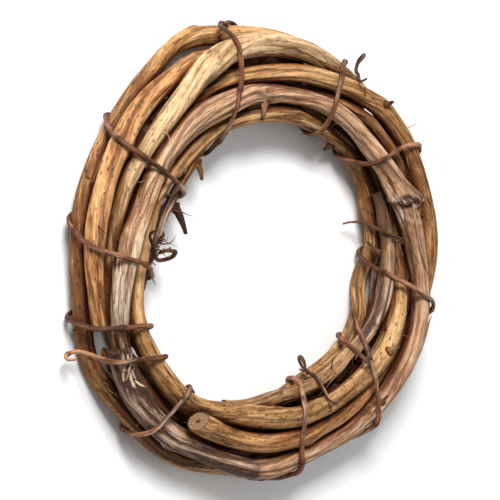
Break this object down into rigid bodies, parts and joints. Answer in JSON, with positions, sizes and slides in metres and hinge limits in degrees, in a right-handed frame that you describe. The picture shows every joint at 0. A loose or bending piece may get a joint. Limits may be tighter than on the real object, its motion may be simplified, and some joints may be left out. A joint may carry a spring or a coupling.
{
  "type": "grapevine wreath",
  "caption": "Small wreath of dry grapevine canes coiled into a thick ring and bound with thin dark vine.",
  "frame": {"origin": "middle of the wreath's outline, on the surface that it lies on", "axes": "+Z out of the wreath's front face, along the ring's axis; +Y to the top of the front view; +X to its right"},
  "size_m": [0.1016, 0.103, 0.0183],
  "materials": {
    "bark_pinkish": "matt dry bark",
    "bark_golden": "matt dry bark",
    "bark_light_golden": "matt dry bark",
    "bark_tan": "matt dry bark",
    "bark_orange_brown": "matt dry bark",
    "bark_grey": "matt dry bark",
    "bark_brown": "matt dry bark",
    "bark_thin_tan": "matt dry bark",
    "binding_bark": "matt dry bark",
    "tendril_bark": "matt dry bark"
  },
  "bodies": {
    "root": {"cane_long_pinkish": "bark_pinkish", "cane_long_golden": "bark_golden", "cane_broad_golden": "bark_light_golden", "cane_long_tan": "bark_tan", "cane_with_cut_end": "bark_orange_brown", "cane_short_grey": "bark_grey", "cane_short_brown": "bark_brown", "cane_thin_inner": "bark_thin_tan", "binding_long": "binding_bark", "binding_lower": "binding_bark", "binding_right": "binding_bark", "tendril_left": "tendril_bark", "tendril_top": "tendril_bark", "tendril_bottom": "tendril_bark", "tendril_right": "tendril_bark"}
  },
  "joints": []
}
